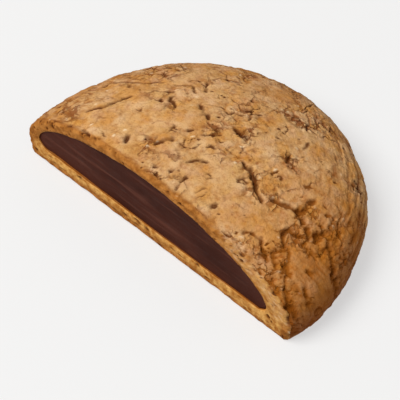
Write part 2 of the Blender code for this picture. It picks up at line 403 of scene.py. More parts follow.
# %% Bold cracks and short marks, as lines on the plan with a half-width and a depth
CRACKS = (
    (((-0.0173, 0.0051), (-0.0183, 0.0021), (-0.0190, -0.0006), (-0.0204, -0.0018)), 0.0004, 0.0005),
    (((-0.0116, 0.0093), (-0.0093, 0.0076)), 0.0004, 0.0005),
    (((-0.0051, -0.0011), (-0.0044, 0.0004), (-0.0036, 0.0016)), 0.0005, 0.0004),
    (((-0.0003, 0.0059), (0.0012, 0.0078)), 0.0004, 0.0004),
    (((0.0019, 0.0108), (0.0051, 0.0097)), 0.0005, 0.0004),
    (
        ((0.0079, 0.0063), (0.0102, 0.0058), (0.0118, 0.0049), (0.0136, 0.0035), (0.0153, 0.0028)),
        0.0004,
        0.0008,
    ),
    (((0.0162, 0.0045), (0.0175, 0.0048), (0.0194, 0.0059), (0.0209, 0.0063)), 0.0005, 0.0007),
    (((0.0207, 0.0073), (0.0202, 0.0089), (0.0202, 0.0102)), 0.0005, 0.0006),
    (
        ((0.0213, 0.0014), (0.0219, 0.0028), (0.0234, 0.0031), (0.0245, 0.0044), (0.0252, 0.0076)),
        0.0005,
        0.0007,
    ),
    (((0.0176, -0.0037), (0.0190, -0.0025), (0.0207, -0.0027), (0.0227, -0.0037)), 0.0004, 0.0006),
    (((0.0258, -0.0027), (0.0270, -0.0037), (0.0283, -0.0049)), 0.0003, 0.0004),
    (((0.0272, 0.0067), (0.0290, 0.0057), (0.0301, 0.0046)), 0.0005, 0.0006),
    (((-0.0250, 0.0036), (-0.0235, 0.0071), (-0.0192, 0.0090), (-0.0162, 0.0117)), 0.0003, 0.0003),
    (((-0.0138, 0.0123), (-0.0113, 0.0140)), 0.0003, 0.0003),
    (((-0.0240, -0.0064), (-0.0236, -0.0067)), 0.0004, 0.0004),
    (((-0.0204, -0.0062), (-0.0202, -0.0067)), 0.0005, 0.0005),
    (((-0.0152, 0.0088), (-0.0128, 0.0105)), 0.0003, 0.0004),
    (((-0.0183, 0.0137), (-0.0168, 0.0146)), 0.0003, 0.0004),
    (((-0.0112, 0.0142), (-0.0096, 0.0128)), 0.0003, 0.0004),
    (((-0.0103, 0.0163), (-0.0083, 0.0143)), 0.0003, 0.0004),
    (((-0.0066, 0.0109), (-0.0041, 0.0097)), 0.0003, 0.0004),
    (((-0.0036, 0.0098), (-0.0027, 0.0090)), 0.0005, 0.0005),
    (((-0.0169, -0.0062), (-0.0155, -0.0068)), 0.0004, 0.0005),
    (((-0.0100, -0.0027), (-0.0092, -0.0038)), 0.0005, 0.0005),
    (((-0.0019, -0.0047), (-0.0014, -0.0044)), 0.0004, 0.0005),
    (((0.0006, -0.0040), (0.0010, -0.0037)), 0.0004, 0.0004),
    (((0.0043, -0.0057), (0.0037, -0.0044), (0.0037, -0.0031)), 0.0003, 0.0004),
    (((0.0018, -0.0002), (0.0028, 0.0009), (0.0039, 0.0017)), 0.0004, 0.0004),
    (((-0.0032, 0.0046), (-0.0028, 0.0049)), 0.0004, 0.0004),
    (((0.0019, 0.0045), (0.0025, 0.0048)), 0.0004, 0.0004),
    (((-0.0017, 0.0130), (-0.0013, 0.0135)), 0.0004, 0.0004),
    (((-0.0002, 0.0142), (0.0003, 0.0145)), 0.0004, 0.0004),
    (((0.0118, 0.0133), (0.0124, 0.0127)), 0.0004, 0.0003),
    (((0.0202, 0.0208), (0.0212, 0.0202)), 0.0004, 0.0005),
    (((0.0218, 0.0014), (0.0231, 0.0000)), 0.0005, 0.0007),
    (((0.0203, 0.0067), (0.0220, 0.0055)), 0.0006, 0.0007),
    (((0.0233, 0.0057), (0.0245, 0.0048)), 0.0005, 0.0006),
    (((0.0255, 0.0045), (0.0253, 0.0068)), 0.0005, 0.0006),
    (((0.0226, -0.0039), (0.0235, -0.0041)), 0.0006, 0.0007),
    (((0.0231, -0.0024), (0.0247, -0.0033)), 0.0005, 0.0005),
    (((0.0262, -0.0024), (0.0272, -0.0029)), 0.0006, 0.0006),
    (((0.0283, -0.0049), (0.0300, -0.0064), (0.0309, -0.0068)), 0.0004, 0.0005),
    (((0.0286, 0.0001), (0.0292, 0.0009)), 0.0005, 0.0005),
    (((0.0201, -0.0021), (0.0213, -0.0032)), 0.0004, 0.0005),
    (((0.0298, 0.0048), (0.0312, 0.0038)), 0.0005, 0.0006),
    (((0.0300, -0.0023), (0.0308, -0.0027)), 0.0005, 0.0006),
    (((0.0302, -0.0061), (0.0311, -0.0055)), 0.0007, 0.0007),
    (((0.0156, -0.0062), (0.0162, -0.0061)), 0.0004, 0.0005),
)
print("cracks and marks", len(CRACKS))


def distance_to_line(plan, corners):
    """Distance of each point of the plan to a line through these corners."""
    nearest = np.full(plan.shape[:-1], 1.0)
    for start, end in zip(np.array(corners[:-1]), np.array(corners[1:])):
        along = end - start
        share = np.clip((plan - start) @ along / (along @ along), 0, 1)
        gap = np.linalg.norm(plan - start - share[..., None] * along, axis=-1)
        nearest = np.minimum(nearest, gap)
    return nearest


# %% Large relief: lumps, sunken broken patches and bold cracks
LUMP_SIZE, LUMP_HEIGHT = 0.019, 0.00032
SWELL_SIZE, SWELL_HEIGHT = 0.0065, 0.00013
BROKEN_DEPTH = 0.00016
# How ragged a bold crack is, and how deep it is when its painted shade is full.
CRACK_RAG_SIZE, CRACK_RAG, FULL_SHADE_DEPTH = 0.0013, 0.00042, 0.0007
# A crack keeps the first share of its depth everywhere, and noise of this size adds up to the second share.
CRACK_LEAST, CRACK_MORE, CRACK_VARIES = 0.55, 0.45, 0.0016
CRACK_OPEN = (-0.35, 0.20)
# Shares of a crack's half-width within which it is fully deep, and beyond which it is gone.
CRACK_CORE, CRACK_END = 0.1, 1.4
RELIEF_FADE_HEIGHT = 0.0016


def large_relief(points, broken):
    """Height of the lumpy skin over the smooth dome, and the mask of the bold cracks' painted shade. The
    cracks are ragged, and their depth comes and goes along them."""
    height = LUMP_HEIGHT * smooth_noise(points, LUMP_SIZE, 61)
    height += SWELL_HEIGHT * smooth_noise(points, SWELL_SIZE, 65)
    height -= BROKEN_DEPTH * broken
    ragged = pushed(points, CRACK_RAG_SIZE, CRACK_RAG, 67)[..., :2]
    strength = CRACK_LEAST + CRACK_MORE * ramp(smooth_noise(points, CRACK_VARIES, 69), *CRACK_OPEN)
    crack = np.zeros_like(height)
    for corners, half_width, depth in CRACKS:
        away = distance_to_line(ragged, corners)
        cleft = strength * (1 - ramp(away, CRACK_CORE * half_width, CRACK_END * half_width))
        height -= depth * cleft
        # A crack's painted shade grows with its depth.
        crack = np.maximum(crack, cleft * min(depth / FULL_SHADE_DEPTH, 1) ** 0.5)
    return height, crack


# %% [markdown]
# ## The fine skin
# Between the cracks the dry skin lies in thin layers that end in small terraces, and it breaks into flakes
# and crumbs. A bump in the material could hint at them, but it casts no shadow, so each kind is real relief.
# Grooves follow the borders of scattered cells, pits and flecks sit at their centres, and how broken a place
# is decides how many there are.

# %% Terraces, where a layer of skin ends
STEP_SIZE, STEP_HEIGHT = 0.0036, 0.00009
STEP_RAG_SIZE, STEP_RAG, STEP_LOSS = 0.0020, 0.0013, 0.35
UPPER_STEP, LOWER_STEP = (0.00, 0.09), (-0.42, -0.33)


def steps(points, broken):
    """Two terraces, which end along ragged lines: how much of them is left, 0 to 1, and a line of 1 along
    each edge."""
    layer = smooth_noise(pushed(points, STEP_RAG_SIZE, STEP_RAG, 72), STEP_SIZE, 71) - STEP_LOSS * broken
    upper, lower = ramp(layer, *UPPER_STEP), ramp(layer, *LOWER_STEP)
    return (upper + lower) / 2, np.maximum(4 * upper * (1 - upper), 4 * lower * (1 - lower))


# %% Grooves between flakes and between crumbs
FLAKE_SIZE, FLAKE_LIFT, GROOVE_WIDTH, GROOVE_DEPTH = 0.0021, 0.00014, 0.00034, 0.00020
CRUMB_SIZE, CRUMB_LIFT, GAP_WIDTH, GAP_DEPTH = 0.0017, 0.00020, 0.00028, 0.00022
# Shares of a cell's size: the noise that makes it ragged, its reach, and where the grooves vary and stop.
CELL_RAG_SIZE, CELL_RAG, WIDTH_VARIES, GROOVE_VARIES = 0.75, 0.30, 0.5, 0.8
WIDTH_MEAN, WIDTH_SPREAD = 0.75, 0.6
GROOVE_CORE, GROOVE_END, GROOVE_OPEN = 0.15, 1.3, (-0.30, 0.15)


def cell_grooves(points, size, width, seed):
    """Grooves along the borders of ragged cells, which come and go and vary in width, and each cell's
    number."""
    ragged = pushed(points, CELL_RAG_SIZE * size, CELL_RAG * size, seed)
    nearest, second, number = nearest_cells(ragged, size, seed + 1)
    varied = smooth_noise(points, WIDTH_VARIES * size, seed + 7)
    local_width = width * (WIDTH_MEAN + WIDTH_SPREAD * varied)
    groove = 1 - ramp(second - nearest, GROOVE_CORE * local_width, GROOVE_END * local_width)
    return groove * ramp(smooth_noise(points, GROOVE_VARIES * size, seed + 8), *GROOVE_OPEN), number


# %% Hair lines, pits and pale flecks
HAIR_SIZE, HAIR_WIDTH, HAIR_DEPTH = 0.0056, 0.00030, 0.00022
HAIR_RAG_SIZE, HAIR_RAG, HAIR_GAPS = 0.0030, 0.0022, 0.0030
HAIR_CORE, HAIR_END, HAIR_BY_BROKEN, HAIR_OPEN = 0.2, 1.5, 0.5, (0.20, 0.60)
# Two kinds of pit: spacing, radius, depth and seed.
PIT_KINDS = ((0.00230, 0.00055, 0.00036, 81), (0.00115, 0.00034, 0.00024, 85))
PIT_LEAST, PIT_MORE, PIT_CORE, NEXT_DIGITS = 0.45, 0.75, 0.35, 37.0
FLECK_SIZE, FLECK_RADIUS, FLECK_HEIGHT = 0.0017, 0.00038, 0.00010
FLECK_CORE, FLECK_DENSITY, FLECK_BY_BROKEN = 0.5, 0.10, 0.50
# Over this much of the density a pit or fleck fades in, so that none starts with a jump.
FADE_IN = 0.08


def hair_lines(points, broken):
    """1 along long wandering lines, which show in places, and more where the skin is broken."""
    ragged = pushed(points, HAIR_RAG_SIZE, HAIR_RAG, 77)
    nearest, second, _ = nearest_cells(ragged, HAIR_SIZE, 78)
    hair = 1 - ramp(second - nearest, HAIR_CORE * HAIR_WIDTH, HAIR_END * HAIR_WIDTH)
    return hair * ramp(smooth_noise(points, HAIR_GAPS, 79) + HAIR_BY_BROKEN * broken, *HAIR_OPEN)


def pits_at(points, spacing, radius, seed, density):
    """1 in the middle of a pit and 0 outside it. A cell has a pit where its number is under the density, and
    the number's further digits give the pit a size."""
    nearest, _, number = nearest_cells(points, spacing, seed)
    size = radius * (PIT_LEAST + PIT_MORE * ((number * NEXT_DIGITS) % 1.0))
    return (1 - ramp(nearest, PIT_CORE * size, size)) * ramp(density - number, 0, FADE_IN)


def flecks_at(points, broken):
    """1 on a pale fleck and 0 beside it, with more flecks where the skin is broken."""
    nearest, _, number = nearest_cells(points, FLECK_SIZE, 91)
    spot = 1 - ramp(nearest, FLECK_CORE * FLECK_RADIUS, FLECK_RADIUS)
    return spot * ramp(FLECK_DENSITY + FLECK_BY_BROKEN * broken - number, 0, FADE_IN)


# %% Fine relief, from all of these and a grit
FLAKY_LEAST, FLAKY_MORE, FLAKY_FROM = 0.22, 0.78, (0.15, 0.55)
CRUMBLY_FROM = (0.58, 0.95)
FINE_RAG_SIZE, FINE_RAG = 0.0012, 0.00040
GRIT_SIZE, GRIT_HEIGHT, GRIT_LEAST = 0.00085, 0.00010, 0.35
FINE_GRIT_SIZE, FINE_GRIT_SHARE = 0.5 * GRIT_SIZE, 0.6
PIT_DENSITY, PIT_BY_BROKEN, PIT_BY_EDGE = 0.09, 0.42, 0.12
# How much painted shade gaps and hair lines get beside a pit, and how pale each kind of skin is, from brown 0
# to pale 1.
GAP_SHADE, HAIR_LINE_SHADE = 0.7, 0.75
SMOOTH_TONE, TERRACE_TONE, FLAKE_TONE, CRUMBLY_LOSS = 0.60, 0.40, 0.60, 0.10
# How much painted shade a terrace's ledge gets: at least, and more where the skin is flaky.
LEDGE_LEAST, LEDGE_BY_FLAKES = 0.35, 0.45


def fine_relief(points, broken):
    """Height of the small features, and the masks that go with them: tone of the flakes, edges and grooves,
    pits, gaps and hair lines, which all get painted shade, and pale flecks, which are partly painted
    highlights."""
    terrace, edge = steps(points, broken)
    flaky = FLAKY_LEAST + FLAKY_MORE * ramp(broken, *FLAKY_FROM)
    crumbly = ramp(broken, *CRUMBLY_FROM)
    groove, flake_number = cell_grooves(points, FLAKE_SIZE, GROOVE_WIDTH, 73)
    gap, crumb_number = cell_grooves(points, CRUMB_SIZE, GAP_WIDTH, 76)
    groove *= flaky
    gap *= crumbly
    height = 2 * STEP_HEIGHT * (terrace - 1)
    height += FLAKE_LIFT * flaky * (flake_number - 0.5) * (1 - groove)
    crumbs = CRUMB_LIFT * crumbly * (crumb_number - 0.5) * (1 - gap)
    height += crumbs - GROOVE_DEPTH * groove - GAP_DEPTH * gap
    hair = hair_lines(points, broken)
    height -= HAIR_DEPTH * hair
    # Gaps, hair lines and pits are marked for painted shade.
    depth = np.maximum(GAP_SHADE * gap, HAIR_LINE_SHADE * hair)
    ragged = pushed(points, FINE_RAG_SIZE, FINE_RAG, 74)
    density = PIT_DENSITY + PIT_BY_BROKEN * broken + PIT_BY_EDGE * edge
    for spacing, radius, deep, seed in PIT_KINDS:
        pit = pits_at(ragged, spacing, radius, seed, density)
        height -= deep * pit
        depth = np.maximum(depth, pit)
    fleck = flecks_at(ragged, broken) * (1 - depth)
    height += FLECK_HEIGHT * fleck
    grit = smooth_noise(points, GRIT_SIZE, 95)
    grit = grit + FINE_GRIT_SHARE * smooth_noise(points, FINE_GRIT_SIZE, 97)
    height += GRIT_HEIGHT * grit * (GRIT_LEAST + broken)
    of_flakes = TERRACE_TONE * terrace + FLAKE_TONE * flake_number - FLAKE_TONE
    tone = SMOOTH_TONE + of_flakes * flaky - CRUMBLY_LOSS * crumbly
    # Ledges of the terraces and grooves between flakes, marked for painted shade.
    edge = np.maximum((LEDGE_LEAST + LEDGE_BY_FLAKES * flaky) * edge, groove)
    return height, {"tone": tone, "edge": edge, "deep": depth, "fleck": fleck, "broken": broken}


# %% [markdown]
# ## Fibres and folds
# On the sides the soft dough sagged before it set, which drew its skin into fine fibres: near the knife they
# run downhill, and farther back they lie level, like folds. They could be drawn one by one, but noise gives
# them all at once: where its coordinates are squeezed along a direction, its blobs turn into long streaks.

# %% Fibres and folds of the sides
FIBRE_HEIGHT = 0.00014
FIBRE_SIZE, FINE_FIBRE_SIZE, FIBRE_SQUEEZE = 0.0009, 0.0005, 0.30
FOLD_SIZE, FINE_FOLD_SIZE, FOLD_SQUEEZE = 0.0010, 0.0006, 0.20
FINE_FIBRE_SHARE = 0.8
# Heights under which the fibres are full, and above which there are none.
FIBRE_FULL, FIBRE_NONE = 0.0080, 0.0150
# How far round towards the back they turn level, and how strong they are: at least, to the right, by patches.
LEVEL_FROM = (0.05, 0.35)
FIBRE_LEAST, FIBRE_RIGHT, FIBRE_RIGHT_FROM = 0.35, 0.85, (0.0020, 0.0200)
FIBRE_PATCHES, FIBRE_PATCH_SIZE = 0.4, 0.0080


def fibres(points):
    """Small waves on the sides. Near the knife they run downhill: noise read with height and distance from
    the axis squeezed. Farther back they lie level, like folds: noise read with the way round squeezed."""
    out = np.maximum(np.linalg.norm(points[..., :2], axis=-1, keepdims=True), 1e-6)
    round_the_axis, height = points[..., :2] / out, points[..., 2:]
    squeezed_out = COOKIE_RADIUS + FIBRE_SQUEEZE * (out - COOKIE_RADIUS)
    downhill = np.concatenate([round_the_axis * squeezed_out, FIBRE_SQUEEZE * height], -1)
    level = np.concatenate([round_the_axis * FOLD_SQUEEZE * COOKIE_RADIUS, height - out], -1)
    fibre_wave = smooth_noise(downhill, FIBRE_SIZE, 101)
    fibre_wave = fibre_wave + FINE_FIBRE_SHARE * smooth_noise(downhill, FINE_FIBRE_SIZE, 105)
    fold_wave = smooth_noise(level, FOLD_SIZE, 103)
    fold_wave = fold_wave + FINE_FIBRE_SHARE * smooth_noise(level, FINE_FOLD_SIZE, 107)
    lying = ramp(round_the_axis[..., 1], *LEVEL_FROM)
    wave = (1 - lying) * fibre_wave + lying * fold_wave
    place = FIBRE_LEAST + FIBRE_RIGHT * ramp(points[..., 0], *FIBRE_RIGHT_FROM)
    place += FIBRE_PATCHES * smooth_noise(points, FIBRE_PATCH_SIZE, 109)
    return wave * place * (1 - ramp(points[..., 2], FIBRE_FULL, FIBRE_NONE))


# %% [markdown]
# ## The outside of the cookie
# Every feature is now known as a height over the smooth dome. A Displace modifier could apply it, but the
# last row has to meet the cut face, so each point of the grid is moved along its normal here. What
# stands out fades away at the foot, so that the cookie rests flat on its base, and the underside, which lay
# on the tray, stays calm. A last measurement shows that no crack reaches the filling.


# %% Rows of the skin, from the far pole to the knife's plane
COLUMNS, SKIN_ROWS = 440, 186
CRUST_BASE_SHARE = 0.22
# The underside keeps the first share of the brokenness, and the second comes in over this height.
UNDER_LEAST, UNDER_MORE, UNDER_HEIGHT = 0.3, 0.7, 0.0012
beta = even_columns(COLUMNS, CRUST_BASE_SHARE)
skin_share = (np.arange(1, SKIN_ROWS + 1) / SKIN_ROWS)[:, None]
skin_alpha = skin_share * alpha_at_plane(crust_form, beta, CUT_Y)
smooth_skin, skin_normal = crust_form(directions_at(skin_alpha, beta))
broken = brokenness(smooth_skin) * (UNDER_LEAST + UNDER_MORE * ramp(smooth_skin[..., 2], 0, UNDER_HEIGHT))
large, crack = large_relief(smooth_skin, broken)
fine, masks = fine_relief(smooth_skin, broken)
fibre = fibres(smooth_skin)
fade = ramp(smooth_skin[..., 2], 0, RELIEF_FADE_HEIGHT)
height = (large + FIBRE_HEIGHT * fibre) * fade + np.where(fine > 0, fine * fade, fine)
skin = smooth_skin + skin_normal * height[..., None]
print("skin relief in mm", round(1000 * height.min(), 2), "to", round(1000 * height.max(), 2))


# %% How much dough is left over the filling
def dough_outside_filling(points):
    """Dough between points and the filling, along lines from the middle of the filling at its widest."""
    widest = np.array([FILLING_SHIFT, 0.0, FLOOR_THICKNESS + FILLING_EDGE_HEIGHT])
    away = points - widest
    reach = COOKIE_RADIUS - WALL_THICKNESS
    rise = COOKIE_HEIGHT - ROOF_THICKNESS - widest[2]
    out = np.linalg.norm(away[..., :2], axis=-1) / reach
    up = np.maximum(away[..., 2], 0) / rise
    times_larger = (out**FILLING_POWER + up**FILLING_POWER) ** (1 / FILLING_POWER)
    return np.linalg.norm(away, axis=-1) * (1 - 1 / times_larger)


over_filling = skin[skin[..., 2] > FLOOR_THICKNESS]
print("thinnest dough over the filling in mm", round(1000 * dough_outside_filling(over_filling).min(), 2))

# %% [markdown]
# ## The cut face
# A knife leaves an almost flat face, but dough crumbles: the face is pitted with the pores of the crumb, it
# wavers a little, and its two edges are rounded where crumbs broke off. The dough next to the skin is baked
# darker, as a browned rim, and the crumbly right end is golden and specked. The face joins the outer skin to
# the rim of the hollow, so it is a set of rows blended between those two loops.

# %% Waver and crumb of the cut
WAVER_SIZE, WAVER_DEPTH = 0.0036, 0.00010
RIPPLE_SIZE, RIPPLE_DEPTH = 0.0011, 0.00005
# Two kinds of pore: spacing, radius, seed and density. Small pores get a share of the pores' painted shade.
LARGE_PORES, LARGE_PORE_DEPTH = (0.00130, 0.00050, 121, 0.55), 0.00030
SMALL_PORES, SMALL_PORE_DEPTH, SMALL_PORE_SHADE = (0.00070, 0.00026, 125, 0.60), 0.00014, 0.8
CRUMB_GRIT_SIZE, CRUMB_GRIT_DEPTH = 0.0005, 0.00005
ALONG_THE_CUT = np.array([1.0, 0.0, 1.0])


def cut_waver(points):
    """How far the cut face wavers along Y. It depends on X and Z alone, so that the skin and the face
    agree."""
    flat = points * ALONG_THE_CUT
    ripple = RIPPLE_DEPTH * smooth_noise(flat, RIPPLE_SIZE, 115)
    return WAVER_DEPTH * smooth_noise(flat, WAVER_SIZE, 111) + ripple


def crumb_relief(points):
    """How deep the crumb's pores go into the cut face, and how open each place is, for the pores' painted
    shade.
    """
    flat = points * ALONG_THE_CUT
    large, small = pits_at(flat, *LARGE_PORES), pits_at(flat, *SMALL_PORES)
    grit = smooth_noise(flat, CRUMB_GRIT_SIZE, 129)
    depth = LARGE_PORE_DEPTH * large + SMALL_PORE_DEPTH * small + CRUMB_GRIT_DEPTH * grit
    return depth, np.maximum(large, SMALL_PORE_SHADE * small)


# %% The cut face, between the skin's last row and the rim of the hollow
CUT_ROWS = 14
EDGE_ROUND, RIM_ROUND, ROUND_REACH = 0.00045, 0.00022, 0.00070
EDGE_LEAST, EDGE_MORE, EDGE_VARIES, EDGE_OPEN = 0.55, 0.9, 0.0030, (-0.5, 0.7)
FLAT_RIM = 0.0004
SKIN_FOLLOWS = 0.0012
hollow_alpha = alpha_at_plane(filling_form, beta, CUT_Y)
rim = filling_form(directions_at(hollow_alpha, beta))[0]
edge = skin[-1].copy()
edge[:, 1] = CUT_Y
across = (np.arange(1, CUT_ROWS + 1) / (CUT_ROWS + 1))[:, None, None]
face = edge + (rim - edge) * across
ragged_edge = EDGE_LEAST + EDGE_MORE * ramp(smooth_noise(edge, EDGE_VARIES, 131), *EDGE_OPEN)
from_edge = np.linalg.norm(face - edge, axis=-1)
from_rim = np.linalg.norm(face - rim, axis=-1)
pore_depth, pore = crumb_relief(face)
keep_rims = ramp(np.minimum(from_edge, from_rim), 0, FLAT_RIM)
face[..., 1] += cut_waver(face) + pore_depth * keep_rims
face[..., 1] += EDGE_ROUND * ragged_edge * (1 - ramp(from_edge, 0, ROUND_REACH)) ** 2
face[..., 1] += RIM_ROUND * (1 - ramp(from_rim, 0, ROUND_REACH)) ** 2
behind_cut = skin[..., 1] - CUT_Y
near_cut = 1 - ramp(behind_cut, 0, SKIN_FOLLOWS)
skin[..., 1] += near_cut * (cut_waver(skin) + EDGE_ROUND * ragged_edge)
face_depth = 1000 * (face[..., 1] - CUT_Y)
print("depth of the cut face in mm", round(face_depth.min(), 2), "to", round(face_depth.max(), 2))

# %% The hollow, and the whole dough as one sleeve
HOLLOW_ROWS = 8
hollow_share = (1 - np.arange(HOLLOW_ROWS) / HOLLOW_ROWS)[:, None]
hollow = filling_form(directions_at(hollow_share * hollow_alpha, beta))[0]
hollow[0, :, 1] += cut_waver(hollow[0]) + RIM_ROUND
crust_rows = np.concatenate([skin, face, hollow])
far_pole = crust_form(directions_at(0.0, 0.0))[0]
inner_pole = filling_form(directions_at(0.0, 0.0))[0]
crust = sleeve_mesh("crust_skin", crust_rows, far_pole, inner_pole)
print("crust faces", len(crust.data.polygons))

# %% [markdown]
# ## What the paint has to know
# The oven and the knife leave colour as well as shape: skin that lies low is browner, and dough close to the
# skin is baked through. Pits, cracks, gaps and grooves also get painted shade. The material could guess at
# this from noise of its own, but then colour and relief would not meet. So the masks that shaped the mesh
# are kept on it as attributes, with one number for each point.

# %% Masks of the skin: painted shade of clefts and fibre troughs, the browned rim behind the cut, and golden crumbs at its right end
# Pairs of lengths are ranges in metres over which a mask starts or ends.
CUT_BLEND, RIND_REACH = 0.0003, (0.0004, 0.0015)
MARGIN_LEFT, MARGIN_LOSS, MARGIN_RANGE = 0.85, 0.75, (0.0100, 0.0190)
CRUMBS_START, CRUMBS_END, CRUMBS_BEHIND = (0.0120, 0.0165), (0.0235, 0.0265), (0.0018, 0.0042)
RIM_RAG_SIZE, RIM_RAG = 0.0018, 0.0004
SPOT_SIZE, SPOT_OPEN, SPOT_SHARE = 0.0009, (-0.10, 0.40), 0.26
GOLDEN_TONE, GOLDEN_SHARE = 0.90, 0.9
# The bold cracks join the pits and gaps in the mask of painted shade.
masks["deep"] = np.maximum(masks["deep"], crack * fade)
masks["fibre"] = fibre * fade
masks["cut"] = 1 - ramp(behind_cut, 0, CUT_BLEND)
margin = MARGIN_LEFT - MARGIN_LOSS * ramp(skin[..., 0], *MARGIN_RANGE)
ragged_behind = behind_cut + RIM_RAG * smooth_noise(skin, RIM_RAG_SIZE, 133)
masks["rind"] = margin * (1 - ramp(ragged_behind, *RIND_REACH))
by_cut = ramp(skin[..., 0], *CRUMBS_START) * (1 - ramp(skin[..., 0], *CRUMBS_END))
by_cut *= 1 - ramp(behind_cut, *CRUMBS_BEHIND)
crumb_spots = ramp(smooth_noise(skin, SPOT_SIZE, 139), *SPOT_OPEN)
masks["tone"] += (GOLDEN_TONE - masks["tone"]) * GOLDEN_SHARE * by_cut
masks["fleck"] = np.maximum(masks["fleck"], SPOT_SHARE * by_cut * crumb_spots)

# %% Masks of the cut face: browned at its edge and above the filling, crumbly at the right end
PALE_CRUMB_SIZE, PALE_CRUMB_OPEN = 0.0008, (0.05, 0.45)
BAKED_REACH, ABOVE_RANGE = (0.0010, 0.0024), (0.0030, 0.0050)
ABOVE_LEFT, ABOVE_LOSS, ABOVE_ALONG = 0.90, 0.55, (0.0180, 0.0250)
CRUMBLY_SHARE, CRUMBLY_ALONG, CRUMBLY_REACH = 0.6, (0.0140, 0.0185), (0.0012, 0.0022)
uneven = RIM_RAG * smooth_noise(face, RIM_RAG_SIZE, 133)
baked_below = 1 - ramp(from_edge + uneven, *BAKED_REACH)
above = ramp(face[..., 2], *ABOVE_RANGE)
baked_above = ABOVE_LEFT - ABOVE_LOSS * ramp(face[..., 0], *ABOVE_ALONG)
rind = baked_below + (baked_above - baked_below) * above
crumbly = CRUMBLY_SHARE * above * ramp(face[..., 0], *CRUMBLY_ALONG)
crumbly = crumbly * ramp(from_rim + uneven, *CRUMBLY_REACH)
crumb_noise = smooth_noise(face * ALONG_THE_CUT, PALE_CRUMB_SIZE, 137)
pale_crumbs = crumbly * ramp(crumb_noise, *PALE_CRUMB_OPEN)
face_masks = {
    "tone": 0.4,
    "edge": 0.0,
    # The pores of the crumb get painted shade.
    "deep": 0.8 * pore,
    "fleck": 0.5 * pale_crumbs,
    "broken": 0.7 * crumbly,
    "fibre": 0.0,
    "cut": 1 - 0.9 * crumbly,
    "rind": rind * (1 - crumbly),
}
on_face, in_hollow = np.ones(face.shape[:2]), np.zeros(hollow.shape[:2])
for mask_name, skin_values in masks.items():
    store(crust, mask_name, np.concatenate([skin_values, on_face * face_masks[mask_name], in_hollow]))
print("masks of the dough", sorted(masks))

# %% [markdown]
# ## The filling
# The chocolate is a shallow lens. It was soft when the cookie was cut, so its face is smooth, sits a little
# behind the dough's, and carries long faint smears from the knife. A flat brown cap could stand for it, but a
# soft face catches the light unevenly, so it has relief of its own, about a tenth of a millimetre deep. It
# is a sleeve like the dough, and reaches just into the dough, so that no gap shows.

# %% Rows of the filling
FILLING_COLUMNS, FILLING_ROWS, FACE_ROWS = 260, 12, 30
FILLING_BASE_SHARE = 0.5
FILLING_REACH = 0.00012
FACE_MIDDLE_HEIGHT = 0.0035
filling_beta = even_columns(FILLING_COLUMNS, FILLING_BASE_SHARE)
face_y = CUT_Y + FILLING_RECESS


def grown_filling(directions):
    """The filling's form, reaching just into the dough."""
    return filling_form(directions, FILLING_REACH)


filling_alpha = alpha_at_plane(grown_filling, filling_beta, face_y)
filling_share = (np.arange(1, FILLING_ROWS + 1) / FILLING_ROWS)[:, None]
body = grown_filling(directions_at(filling_share * filling_alpha, filling_beta))[0]
face_middle = np.array([0.0, face_y, FLOOR_THICKNESS + FACE_MIDDLE_HEIGHT])
inward = (np.arange(1, FACE_ROWS) / FACE_ROWS)[:, None, None]
smear_face = body[-1] + (face_middle - body[-1]) * inward

# %% Smears, a slight sag, and a lip where the chocolate clings to the dough
SMEAR_SIZE, FINE_SMEAR_SIZE, SMEAR_DEPTH = 0.0011, 0.0005, 0.00004
SAG_SIZE, SAG_DEPTH = 0.0060, 0.00010
LIP_RISE, LIP_REACH, STILL_REACH = 0.00012, 0.0007, 0.0008
SMEARED_ALONG_X = np.array([0.10, 0.0, 1.0])
long_smear = smear_face * SMEARED_ALONG_X
from_dough = np.linalg.norm(smear_face - body[-1], axis=-1)
smear = smooth_noise(long_smear, SMEAR_SIZE, 141) + 0.5 * smooth_noise(long_smear, FINE_SMEAR_SIZE, 145)
sag = smooth_noise(smear_face, SAG_SIZE, 149)
smear_face[..., 1] += (SMEAR_DEPTH * smear + SAG_DEPTH * sag) * ramp(from_dough, 0, STILL_REACH)
smear_face[..., 1] -= LIP_RISE * (1 - ramp(from_dough, 0, LIP_REACH))
body[-1, :, 1] -= LIP_RISE
filling_pole = grown_filling(directions_at(0.0, 0.0))[0]
filling = sleeve_mesh("filling_cream", np.concatenate([body, smear_face]), filling_pole, face_middle)
store(filling, "smear", np.concatenate([0 * body[..., 0], smear]))
print("filling faces", len(filling.data.polygons))

# %% [markdown]
# ## Materials
# A material is a small machine of nodes. Linking them one by one takes many lines, so a wrapper adds a node
# and links it in one call. Colours are picked as the eye sees them and turned into the linear values that a
# shader wants.


# %% Helpers for shader nodes
def linear(red, green, blue):
    """A colour given as 0 to 255 display values, as the linear values of a shader."""
    display = np.array([red, green, blue]) / 255
    value = np.where(display <= 0.04045, display / 12.92, ((display + 0.055) / 1.055) ** 2.4)
    return (*value.tolist(), 1.0)


